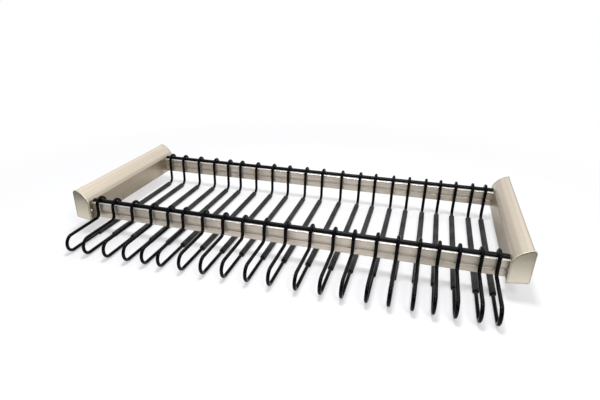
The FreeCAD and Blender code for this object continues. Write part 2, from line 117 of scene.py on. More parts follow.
class Board:
    """Adds nodes to one tree and joins them."""

    def __init__(self, tree: bpy.types.NodeTree) -> None:
        """Take the tree to work on."""
        self.tree = tree

    def add(self, kind: str, *values: object, **settings: object) -> bpy.types.Node:
        """Add a node.

        Args:
            kind: Blender's type name of the node.
            values: socket or plain value for each of its first inputs.
            settings: properties to set on it.

        Returns:
            The new node.
        """
        node = self.tree.nodes.new(kind)
        for name, value in settings.items():
            setattr(node, name, value)
        for target, value in zip(node.inputs, values):
            self.give(target, value)
        return node

    def join(self, source: Socket, target: Socket) -> None:
        """Link an output to an input."""
        self.tree.links.new(source, target)

    def give(self, target: Socket, value: object) -> None:
        """Give an input its value.

        Args:
            target: the input.
            value: socket to link to it, or plain value to set on it.
        """
        if isinstance(value, Socket):
            self.join(value, target)
        else:
            target.default_value = value

    def math(self, operation: str, *values: object) -> Socket:
        """Output of a Math node, with a socket or number for each of its inputs."""
        return self.add("ShaderNodeMath", *values, operation=operation).outputs[0]

    def spread(self, value: Socket, start: Pair, end: Pair = FULL) -> Socket:
        """Output of a node that maps one range of values onto another, held at both ends."""
        node = self.add("ShaderNodeMapRange", value, *start, *end, interpolation_type="SMOOTHSTEP")
        return node.outputs["Result"]

    def blend(self, mask: Socket, start: object, end: Colour) -> Socket:
        """Mix two colours by a mask.

        Args:
            mask: socket from 0 to 1.
            start: socket or linear colour where the mask is 0.
            end: linear colour where the mask is 1.

        Returns:
            The colour socket.
        """
        node = self.add("ShaderNodeMix", mask, data_type="RGBA")
        first, second = node.inputs[6], node.inputs[7]  # its colours, after its numbers and vectors
        self.give(first, start if isinstance(start, Socket) else (*start, 1.0))
        self.give(second, (*end, 1.0))
        return node.outputs[2]


class Pattern(Enum):
    """Kind of noise: its octaves, and the values of it that become 0 and 1."""

    SCRATCHES = (3.0, 0.3, 0.7)
    BANDS = (2.0, 0.3, 0.7)
    SPECKLE = (3.0, 0.32, 0.68)
    BLOTCHES = (2.0, 0.38, 0.66)

    def group(self) -> bpy.types.NodeTree:
        """Build the shader node group that puts out a mask of the noise.

        Returns:
            The group, with coordinates and repeats per metre as its inputs.
        """
        detail, low, high = self.value
        tree = bpy.data.node_groups.new(f"{self.name.lower()}_mask", "ShaderNodeTree")
        for label in ("Vector", "Repeats"):
            tree.interface.new_socket(name=label, in_out="INPUT", socket_type="NodeSocketVector")
        tree.interface.new_socket(name="Mask", in_out="OUTPUT", socket_type="NodeSocketFloat")
        board = Board(tree)
        given = board.add("NodeGroupInput").outputs
        place = board.add("ShaderNodeVectorMath", given["Vector"], given["Repeats"], operation="MULTIPLY")
        noise = board.add("ShaderNodeTexNoise", place.outputs["Vector"])
        noise.inputs["Scale"].default_value = 1.0
        noise.inputs["Detail"].default_value = detail
        board.add("NodeGroupOutput", board.spread(noise.outputs["Fac"], (low, high)))
        return tree


Groups = dict[Pattern, bpy.types.NodeTree]


class Surface:
    """One material under construction: a Principled shader with object coordinates at hand."""

    def __init__(self, name: str, groups: Groups) -> None:
        """Start a material.

        Args:
            name: its name.
            groups: the shared noise groups.
        """
        self.groups = groups
        self.material = bpy.data.materials.new(name)
        self.material.use_nodes = True
        self.board = Board(self.material.node_tree)
        self.shader = self.material.node_tree.nodes["Principled BSDF"]
        self.place = self.board.add("ShaderNodeTexCoord").outputs["Object"]

    def constant(self, **values: float) -> None:
        """Set plain values on the shader's own sockets, named with underscores for spaces."""
        for name, value in values.items():
            self.shader.inputs[name.replace("_", " ")].default_value = value

    def feed(self, socket: str, source: Socket) -> None:
        """Join a changing value to one of the shader's sockets."""
        self.board.join(source, self.shader.inputs[socket])

    def mask(self, pattern: Pattern, scale: float, grain: Grain = Grain.ROUND) -> Socket:
        """Place a mask of noise.

        Args:
            pattern: the kind of noise.
            scale: its repeats per metre, or what the grain's repeats are multiplied by.
            grain: the way that it runs.

        Returns:
            The mask's socket.
        """
        repeats = [scale * count for count in grain.value]
        node = self.board.add("ShaderNodeGroup", self.place, repeats, node_tree=self.groups[pattern])
        return node.outputs["Mask"]

    def weigh(self, first: Socket, share: float, second: Socket) -> Socket:
        """Add two masks, the first with a share and the second with the rest."""
        rest = self.board.math("MULTIPLY", second, 1.0 - share)
        return self.board.math("MULTIPLY_ADD", first, share, rest)

    def along(self, axis: Axis) -> Socket:
        """Place along one axis, in metres."""
        return self.board.add("ShaderNodeSeparateXYZ", self.place).outputs[axis.value]

    def relief(self, height: Socket) -> None:
        """Bump the surface.

        Args:
            height: height of the surface in metres.
        """
        bump = self.board.add("ShaderNodeBump")
        bump.inputs["Strength"].default_value = 1.0
        bump.inputs["Distance"].default_value = 1.0
        self.board.join(height, bump.inputs["Height"])
        self.feed("Normal", bump.outputs["Normal"])


@dataclass(frozen=True)
class PaintedLightStreak:
    """Painted light or shade: a lighter or darker streak that runs the length of a piece, the same on both
    sides of the rack.
    """

    axis: Axis
    centre: float
    core: float
    reach: float
    colour: Colour
    share: float
    ahead_of: float | None = None
    fade: float = 0.001

    def mask(self, surface: Surface) -> Socket:
        """Mask of the painted light or shade, at its full share in the core and fading out to its reach.

        Args:
            surface: the material that it goes on.

        Returns:
            The mask's socket. With ahead_of given, the streak shows only in front of that place along Y.
        """
        board = surface.board
        folded = board.math("ABSOLUTE", surface.along(self.axis))
        distance = board.math("ABSOLUTE", board.math("SUBTRACT", folded, self.centre))
        mask = board.spread(distance, (self.core, self.reach), (self.share, 0.0))
        if self.ahead_of is None:
            return mask
        edge = (self.ahead_of - self.fade, self.ahead_of + self.fade)
        return board.math("MULTIPLY", mask, board.spread(surface.along(Axis.BACK), edge, (1.0, 0.0)))


@dataclass(frozen=True)
class Finish:
    """Look of one slot, between a light and a dark colour and between two levels of roughness."""

    slot: Slot
    light: Colour
    dark: Colour
    roughness: Pair

    def material(self, groups: Groups) -> bpy.types.Material:
        """Build the finish.

        Args:
            groups: the shared noise groups.

        Returns:
            The material.
        """
        surface = Surface(f"{self.slot.value}_finish", groups)
        self.paint(surface)
        return surface.material

    def paint(self, surface: Surface) -> None:
        """Lay the finish out on a new material."""
        raise NotImplementedError


@dataclass(frozen=True)
class DrawnMetal(Finish):
    """Metal with lines along its length, such as anodised aluminium or rolled steel, with streaks of painted
    shade and painted highlight laid on it.
    """

    grain: Grain
    metallic: float
    painted_light_streaks: tuple[PaintedLightStreak, ...] = ()
    bead: Pair | None = None
    line_depth: float = 0.000015
    band_share: float = 0.18
    band_weight: float = 0.6
    scratch_weight: float = 0.7
    blotch_scale: float = 22.0

    def paint(self, surface: Surface) -> None:
        """Lay out the bands, the streaks of painted shade and highlight, the scratches and the bead along an
        upper edge.

        Args:
            surface: the new material.
        """
        board = surface.board
        scratches = surface.mask(Pattern.SCRATCHES, 1.0, self.grain)
        bands = surface.mask(Pattern.BANDS, self.band_share, self.grain)
        blotch = surface.mask(Pattern.BLOTCHES, self.blotch_scale)
        colour = board.blend(surface.weigh(bands, self.band_weight, blotch), self.light, self.dark)
        # painted shade and painted highlights laid over the metal's own colour
        for painted_streak in self.painted_light_streaks:
            colour = board.blend(painted_streak.mask(surface), colour, painted_streak.colour)
        surface.feed("Base Color", colour)
        wear = surface.weigh(scratches, self.scratch_weight, blotch)
        surface.feed("Roughness", board.spread(wear, FULL, self.roughness))
        height = board.math("MULTIPLY", scratches, self.line_depth)
        if self.bead is not None:
            low, high = self.bead
            roll = board.spread(surface.along(Axis.UP), self.bead, (high - low, 0.0))
            height = board.math("ADD", height, roll)
        surface.relief(height)
        surface.constant(Metallic=self.metallic)


@dataclass(frozen=True)
class SpeckledCoat(Finish):
    """Coat or moulding with a fine skin, such as dipped wire or soft tube."""

    speckle_scale: float
    speckle_depth: float
    specular: float
    sheen: float = 0.0
    sheen_roughness: float = 0.5
    speckle_weight: float = 0.5
    blotch_scale: float = 30.0

    def paint(self, surface: Surface) -> None:
        """Lay out the speckle and the blotches.

        Args:
            surface: the new material.
        """
        speckle = surface.mask(Pattern.SPECKLE, self.speckle_scale)
        blotch = surface.mask(Pattern.BLOTCHES, self.blotch_scale)
        tone = surface.weigh(speckle, self.speckle_weight, blotch)
        surface.feed("Base Color", surface.board.blend(tone, self.light, self.dark))
        surface.feed("Roughness", surface.board.spread(tone, FULL, self.roughness))
        surface.relief(surface.board.math("MULTIPLY", speckle, self.speckle_depth))
        surface.constant(Metallic=0.0, Specular_IOR_Level=self.specular)
        surface.constant(Sheen_Weight=self.sheen, Sheen_Roughness=self.sheen_roughness)


@dataclass(frozen=True)
class MouldedCap(Finish):
    """Sprayed cap whose face swells a little, so that it leans back towards its top, with painted shade that
    darkens the face towards its top.
    """

    metallic: float
    painted_shade_span: Pair = (0.030, 0.094)
    painted_shade_weight: float = 0.75
    level: float = 0.036
    swell: float = 3.4
    speckle_scale: float = 900.0
    speckle_depth: float = 0.00003
    speckle_weight: float = 0.4
    blotch_scale: float = 26.0

    def paint(self, surface: Surface) -> None:
        """Lay out the skin, the painted shade that darkens the face from the bottom up, and the swell.

        Args:
            surface: the new material.
        """
        board = surface.board
        speckle = surface.mask(Pattern.SPECKLE, self.speckle_scale)
        blotch = surface.mask(Pattern.BLOTCHES, self.blotch_scale)
        skin = surface.weigh(speckle, self.speckle_weight, blotch)
        height = surface.along(Axis.UP)
        # painted shade: the cap's colour darkens from the bottom up towards its top
        tone = surface.weigh(board.spread(height, self.painted_shade_span), self.painted_shade_weight, skin)
        surface.feed("Base Color", board.blend(tone, self.light, self.dark))
        surface.feed("Roughness", board.spread(skin, FULL, self.roughness))
        rise = board.math("SUBTRACT", height, self.level)
        fall = board.math("MULTIPLY", board.math("MULTIPLY", rise, rise), -self.swell)
        surface.relief(board.math("MULTIPLY_ADD", speckle, self.speckle_depth, fall))
        surface.constant(Metallic=self.metallic)


PROFILE_PAINTED_SHADE = (
    # painted shade: darker inner wall of each profile, where little light reaches
    PaintedLightStreak(Axis.OUTWARD, 0.3996, 0.0005, 0.0011, (0.44, 0.365, 0.26), 0.65),
    # painted shadow: inner wall between the front cap and the front rail, in front of the rail
    PaintedLightStreak(Axis.OUTWARD, 0.3996, 0.0005, 0.0011, (0.2, 0.16, 0.11), 0.75, ahead_of=-0.1144),
    # painted shade: dark line along the outer top edge of each profile
    PaintedLightStreak(Axis.OUTWARD, 0.4290, 0.0004, 0.0012, (0.30, 0.26, 0.20), 0.7),
)
RAIL_PAINTED_SHADE_AND_HIGHLIGHT = (
    # painted shade: rails darker towards their ends beside the profiles
    PaintedLightStreak(Axis.OUTWARD, 0.42, 0.02, 0.32, (0.42, 0.37, 0.30), 0.4),
    # painted shade: dark line just under the lip
    PaintedLightStreak(Axis.UP, 0.0612, 0.0003, 0.0013, (0.40, 0.35, 0.28), 0.45),
    # painted shade: darker band in the cove of the rail's face
    PaintedLightStreak(Axis.UP, 0.0475, 0.0018, 0.0044, (0.42, 0.37, 0.30), 0.4),
    # painted shade: dark line along the rail's bottom edge
    PaintedLightStreak(Axis.UP, 0.0336, 0.0003, 0.0013, (0.34, 0.30, 0.24), 0.5),
    # painted highlight: bright lip along the rail's top front edge
    PaintedLightStreak(Axis.UP, 0.0652, 0.0013, 0.0020, (0.98, 0.96, 0.93), 1.0),
)
FINISHES: tuple[Finish, ...] = (
    DrawnMetal(
        Slot.PROFILE, (0.81, 0.715, 0.59), (0.66, 0.575, 0.465), (0.30, 0.46), Grain.ALONG, 0.75,
        PROFILE_PAINTED_SHADE, band_weight=0.9
    ),
    DrawnMetal(
        Slot.RAIL, (0.93, 0.84, 0.72), (0.70, 0.62, 0.52), (0.36, 0.5), Grain.ACROSS, 0.75, RAIL_PAINTED_SHADE_AND_HIGHLIGHT,
        bead=(0.0628, 0.0666), line_depth=0.000008
    ),
    MouldedCap(Slot.CAP, (0.86, 0.79, 0.65), (0.53, 0.49, 0.385), (0.38, 0.48), 0.75),
    SpeckledCoat(
        Slot.STRIP, (0.005, 0.005, 0.006), (0.003, 0.003, 0.003), (0.3, 0.44), 700.0, 0.000024, 0.14
    ),
    SpeckledCoat(
        Slot.WIRE, (0.003, 0.003, 0.004), (0.002, 0.002, 0.002), (0.1, 0.18), 500.0, 0.000012, 0.08
    ),
    SpeckledCoat(
        Slot.SLEEVE, (0.034, 0.034, 0.035), (0.008, 0.008, 0.009), (0.6, 0.85), 1100.0, 0.0001, 0.3,
        sheen=0.05
    ),
    DrawnMetal(Slot.RUNNER, (0.62, 0.64, 0.66), (0.52, 0.55, 0.58), (0.25, 0.42), Grain.ALONG, 1.0),
    DrawnMetal(Slot.CAGE, (0.56, 0.57, 0.58), (0.48, 0.49, 0.50), (0.22, 0.36), Grain.ALONG, 1.0),
    DrawnMetal(Slot.SCREW, (0.97, 0.97, 0.96), (0.88, 0.88, 0.87), (0.16, 0.26), Grain.EVEN, 0.8),
)


class Palette:
    """The finished materials, one for each slot."""

    def __init__(self) -> None:
        """Build every finish."""
        groups = {pattern: pattern.group() for pattern in Pattern}
        self.materials = {finish.slot: finish.material(groups) for finish in FINISHES}

    def dress(self, slot: Slot, *nodes: str) -> None:
        """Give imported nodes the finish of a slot.

        Args:
            slot: the finish.
            nodes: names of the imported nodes.
        """
        for node in nodes:
            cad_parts[node].material_slots[0].material = self.materials[slot]
            log.info("%s keeps its shape, finish %s", node, slot.value)


def new_piece(name: str, mesh: bpy.types.Mesh) -> bpy.types.Object:
    """Link a mesh into the scene.

    Args:
        name: the piece's name.
        mesh: its mesh.

    Returns:
        The object, at the origin.
    """
    piece = bpy.data.objects.new(name, mesh)
    bpy.context.scene.collection.objects.link(piece)
    return piece


def place_piece(piece: bpy.types.Object, body: str, slot: Slot, *nodes: str) -> None:
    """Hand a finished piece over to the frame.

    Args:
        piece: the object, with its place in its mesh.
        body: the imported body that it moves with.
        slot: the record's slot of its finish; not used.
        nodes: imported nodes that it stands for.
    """
    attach(piece, body)
    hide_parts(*nodes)
    log.info("%s rides on %s, %d faces", piece.name, body, len(piece.data.polygons))


class GeometryTree:
    """A Geometry Nodes tree with named inputs, which makes one plain mesh at a time."""

    def __init__(self, name: str, inputs: dict[str, str]) -> None:
        """Start the tree.

        Args:
            name: the tree's name.
            inputs: socket type of each named size or setting. A guide and a finish are added to them.
        """
        self.tree = bpy.data.node_groups.new(name, "GeometryNodeTree")
        self.keys = {}
        sockets = {"Guide": "NodeSocketGeometry", **inputs, "Finish": "NodeSocketMaterial"}
        for label, kind in sockets.items():
            socket = self.tree.interface.new_socket(name=label, in_out="INPUT", socket_type=kind)
            self.keys[label] = socket.identifier
        self.tree.interface.new_socket(name="Mesh", in_out="OUTPUT", socket_type="NodeSocketGeometry")
        self.board = Board(self.tree)
        self.start = self.board.add("NodeGroupInput")
        self.end = self.board.add("NodeGroupOutput")

    def chain(self, source: Socket, kind: str, values: dict[str, object], **settings: object) -> Socket:
        """Add a node after a geometry socket.

        Args:
            source: the geometry that goes into the node's first input.
            kind: Blender's type name of the node.
            values: socket or plain value of each named input.
            settings: properties to set on the node.

        Returns:
            The node's geometry output.
        """
        node = self.board.add(kind, source, **settings)
        for label, value in values.items():
            self.board.give(node.inputs[label], value)
        return node.outputs[0]

    def attribute(self, name: str, data_type: str) -> Socket:
        """Socket of a named attribute of the guide."""
        node = self.board.add("GeometryNodeInputNamedAttribute", name, data_type=data_type)
        return node.outputs["Attribute"]

    def close(self, geometry: Socket) -> None:
        """End the tree with real meshes that carry the finish.

        Args:
            geometry: what the tree has made so far.
        """
        real = self.chain(geometry, "GeometryNodeRealizeInstances", {})
        done = self.chain(real, "GeometryNodeSetMaterial", {"Material": self.start.outputs["Finish"]})
        self.board.join(done, self.end.inputs["Mesh"])

    def run(self, name: str, guide: bpy.types.Mesh, values: dict[str, object]) -> bpy.types.Object:
        """Make one piece.

        Args:
            name: the piece's name.
            guide: mesh of points or edges that the tree works on.
            values: value of each named input.

        Returns:
            An object at the origin with a plain mesh.
        """
        piece = new_piece(name, guide)
        modifier = piece.modifiers.new(self.tree.name, "NODES")
        modifier.node_group = self.tree
        for label, value in values.items():
            modifier[self.keys[label]] = value
        depsgraph = bpy.context.evaluated_depsgraph_get()
        made = bpy.data.meshes.new_from_object(piece.evaluated_get(depsgraph))
        made.name = name
        piece.modifiers.clear()
        piece.data = made
        return piece


def midway(low: float, high: float) -> float:
    """Middle of a stretch."""
    return 0.5 * (low + high)


def quarter(steps: int) -> list[Pair]:
    """Sine and one less cosine of even steps through a quarter turn, for round rims and ends."""
    angles = [QUARTER_TURN * step / steps for step in range(steps + 1)]
    return [(math.sin(angle), 1.0 - math.cos(angle)) for angle in angles]


def join_rings(draft: Draft, rings: list[Ring], smooth: bool = True) -> None:
    """Join rings with equal numbers of corners, each to the next one.

    Args:
        draft: the mesh that they belong to.
        rings: the rings, in order.
        smooth: whether the faces between them are shaded smooth.
    """
    for first, second in zip(rings, rings[1:]):
        for index, corner in enumerate(first):
            after = (index + 1) % len(first)
            draft.faces.new((corner, first[after], second[after], second[index])).smooth = smooth


def ring_edges(draft: Draft, ring: Ring) -> list[bmesh.types.BMEdge]:
    """Edges round a ring that faces have been joined to."""
    return [draft.edges.get(pair) for pair in zip(ring, ring[1:] + ring[:1])]


def turned(stations: list[Pair], sides: int, closed: bool) -> tuple[Draft, list[Ring]]:
    """Turn an outline about the X axis.

    Args:
        stations: place along X and radius of each ring.
        sides: corners of a ring.
        closed: whether the last ring joins the first, as round a bore.

    Returns:
        The turned mesh and its rings. Where it isn't closed, its first and last rings are open.
    """
    draft = bmesh.new()
    angles = [2.0 * math.pi * side / sides for side in range(sides)]
    rings = []
    for along, radius in stations:
        spots = [(along, radius * math.cos(angle), radius * math.sin(angle)) for angle in angles]
        rings.append([draft.verts.new(spot) for spot in spots])
    join_rings(draft, rings + rings[:1] if closed else rings)
    return draft, rings


def draft_piece(
    draft: Draft, name: str, finish: bpy.types.Material | None = None, creased: bool = False
) -> bpy.types.Object:
    """Turn a draft into a piece whose faces point outwards.

    Args:
        draft: the draft, which is used up.
        name: the piece's name.
        finish: its material.
        creased: whether steep edges become sharp.

    Returns:
        The piece, at the origin.
    """
    bmesh.ops.recalc_face_normals(draft, faces=draft.faces)
    mesh = bpy.data.meshes.new(name)
    draft.to_mesh(mesh)
    draft.free()
    if creased:
        mesh.set_sharp_from_angle(angle=CREASE)
    if finish is not None:
        mesh.materials.append(finish)
    return new_piece(name, mesh)


@dataclass
class Assembly:
    """Sub-assembly of the rack, with the finishes at hand."""

    palette: Palette

    def build(self) -> None:
        """Dress or build the pieces of the sub-assembly."""
        raise NotImplementedError


@dataclass
class SideProfiles(Assembly):
    """The two curved side profiles and the caps that close their rear ends."""

    profiles: tuple[str, ...] = ("left_side_profile", "right_side_profile")
    caps: tuple[str, ...] = ("left_rear_cap", "right_rear_cap")

    def build(self) -> None:
        """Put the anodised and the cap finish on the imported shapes."""
        self.palette.dress(Slot.PROFILE, *self.profiles)
        self.palette.dress(Slot.CAP, *self.caps)


@dataclass
class FrontCaps(Assembly):
    """The moulded front caps of the profiles, with a round outer corner and a groove inside the rim."""

    arc_centre: Pair = (0.43715, 0.05414)
    arc_radius: float = 0.04062
    corner: float = 0.006
    thickness: float = 0.003
    edge: float = 0.0009
    edge_steps: int = 5
    rim: float = 0.0015
    groove: float = 0.0011
    groove_depth: float = 0.0010
    face_margin: float = 0.0003
    underside_slope: float = 0.1476
    arc_steps: int = 28
    corner_steps: int = 14

    def build(self) -> None:
        """Build both caps."""
        for side in Side:
            node = f"{side.name.lower()}_front_cap"
            place_piece(self._cap(side, node), "rack", Slot.CAP, node)

    def _outline(self, node: str, inset: float) -> list[Pair]:
        """Draw a cap's outline.

        Args:
            node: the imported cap.
            inset: how far the outline lies inside the cap's widest one.

        Returns:
            Distance from the rack's middle plane and height of each point, from the inner bottom corner up,
            over the arc and down the outer side.
        """
        low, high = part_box(node)
        near, far = sorted((abs(low.x), abs(high.x)))
        inner, outer = near + inset, far - inset
        centre_x, centre_z = self.arc_centre
        radius, corner = self.arc_radius - inset, self.corner - inset
        start = math.acos((inner - centre_x) / radius)
        corner_x = outer - corner
        corner_z = centre_z + math.sqrt((radius - corner) ** 2 - (corner_x - centre_x) ** 2)
        end = math.atan2(corner_z - centre_z, corner_x - centre_x)
        points = [(inner, low.z + inset)]
        for step in range(self.arc_steps + 1):
            angle = start + (end - start) * step / self.arc_steps
            points.append((centre_x + radius * math.cos(angle), centre_z + radius * math.sin(angle)))
        for step in range(1, self.corner_steps + 1):
            angle = end * (1.0 - step / self.corner_steps)
            points.append((corner_x + corner * math.cos(angle), corner_z + corner * math.sin(angle)))
        points.append((outer, low.z + inset + self.underside_slope * (outer - inner)))
        return points

    def _cap(self, side: Side, node: str) -> bpy.types.Object:
        """Build one cap from its face back to its seat on the profile.

        Args:
            side: the side of the rack.
            node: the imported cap.

        Returns:
            The cap.
        """
        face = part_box(node)[0].y
        inside, bed = self.rim + self.groove, face + self.groove_depth
        stations = [(inside + self.face_margin, face), (inside, face)]
        stations += [(inside, bed), (self.rim, bed), (self.rim, face)]
        for out, back in quarter(self.edge_steps):
            stations.append((self.edge - self.edge * out, face + self.edge * back))
        stations.append((0.0, face + self.thickness))
        cap = bmesh.new()
        rings = []
        for inset, y in stations:
            rings.append([cap.verts.new((side.value * x, y, z)) for x, z in self._outline(node, inset)])
        join_rings(cap, rings)
        for ring in (rings[0], rings[-1]):
            cap.faces.new(ring).smooth = True
        return draft_piece(cap, f"moulded_{node}", self.palette.materials[Slot.CAP], creased=True)


@dataclass
class CrossRails(Assembly):
    """The front and rear rails with the black strips that the hooks slide on."""

    rails: tuple[str, ...] = ("front_rail", "rear_rail")
    strips: tuple[str, ...] = ("front_rail_strip", "rear_rail_strip")
    rail_corner: float = 0.0024
    strip_side: float = 0.0015
    brim_skin: float = 0.00012
    brim_turn: float = 20.0
    brim_steps: int = 6
    dome_steps: int = 24

    def build(self) -> None:
        """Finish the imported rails, and lay a strip with a thin brim on each of them."""
        self.palette.dress(Slot.RAIL, *self.rails)
        for rail, strip in zip(self.rails, self.strips):
            place_piece(self._strip(rail, strip), "rack", Slot.STRIP, strip)

    def _section(self, rail: str, strip: str) -> list[Pair]:
        """Work out half of a strip's outline, from the rim of its brim up to its crest.

        Args:
            rail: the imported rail.
            strip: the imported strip.

        Returns:
            Distance from the rail's middle and height of each point.
        """
        rail_low, rail_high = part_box(rail)
        strip_low, strip_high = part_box(strip)
        half, reach = 0.5 * (strip_high.y - strip_low.y), 0.5 * (rail_high.y - rail_low.y)
        top, spring = rail_high.z, rail_high.z + self.strip_side
        bend = self.rail_corner + self.brim_skin
        points = []
        for step in range(self.brim_steps + 1):
            turn = math.radians(self.brim_turn) * (1.0 - step / self.brim_steps)
            out, up = reach - self.rail_corner, top - self.rail_corner
            points.append((out + bend * math.sin(turn), up + bend * math.cos(turn)))
        rise = strip_high.z - spring
        radius = (half * half + rise * rise) / (2.0 * rise)
        sweep = math.asin(half / radius)
        points.append((half, top + self.brim_skin))
        for step in range(self.dome_steps + 1):
            turn = sweep * (1.0 - step / self.dome_steps)
            points.append((radius * math.sin(turn), strip_high.z - radius * (1.0 - math.cos(turn))))
        return points

    def _strip(self, rail: str, strip: str) -> bpy.types.Object:
        """Draw one strip along its rail.

        Args:
            rail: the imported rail.
            strip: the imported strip.

        Returns:
            The strip.
        """
        low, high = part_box(strip)
        middle = midway(low.y, high.y)
        half = self._section(rail, strip)
        foot = [(out - 0.5 * self.brim_skin, up - self.brim_skin) for out, up in half[:self.brim_steps + 1]]
        loop = [(-out, up) for out, up in half] + half[-2::-1]
        loop += foot + [(-out, up) for out, up in reversed(foot)]
        drawn = bmesh.new()
        ends = [[drawn.verts.new((x, middle + out, up)) for out, up in loop] for x in (low.x, high.x)]
        join_rings(drawn, ends)
        for end in ends:
            drawn.faces.new(end)
        return draft_piece(drawn, f"black_{strip}", self.palette.materials[Slot.STRIP], creased=True)


@dataclass
class BallRunners(Assembly):
    """The telescopic runners on the outer sides of the profiles."""

    members: tuple[str, ...] = ("cabinet_members", "middle_members", "drawer_members")
    cages: tuple[str, ...] = ("outer_ball_cages", "inner_ball_cages")

    def build(self) -> None:
        """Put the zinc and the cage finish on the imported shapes."""
        self.palette.dress(Slot.RUNNER, *self.members)
        self.palette.dress(Slot.CAGE, *self.cages)


@dataclass(frozen=True)
class Corner:
    """Point of a wire's route: its place, the radius of its bend and its share of the full thickness."""

    y: float
    z: float
    bend: float = 0.0
    share: float = 1.0


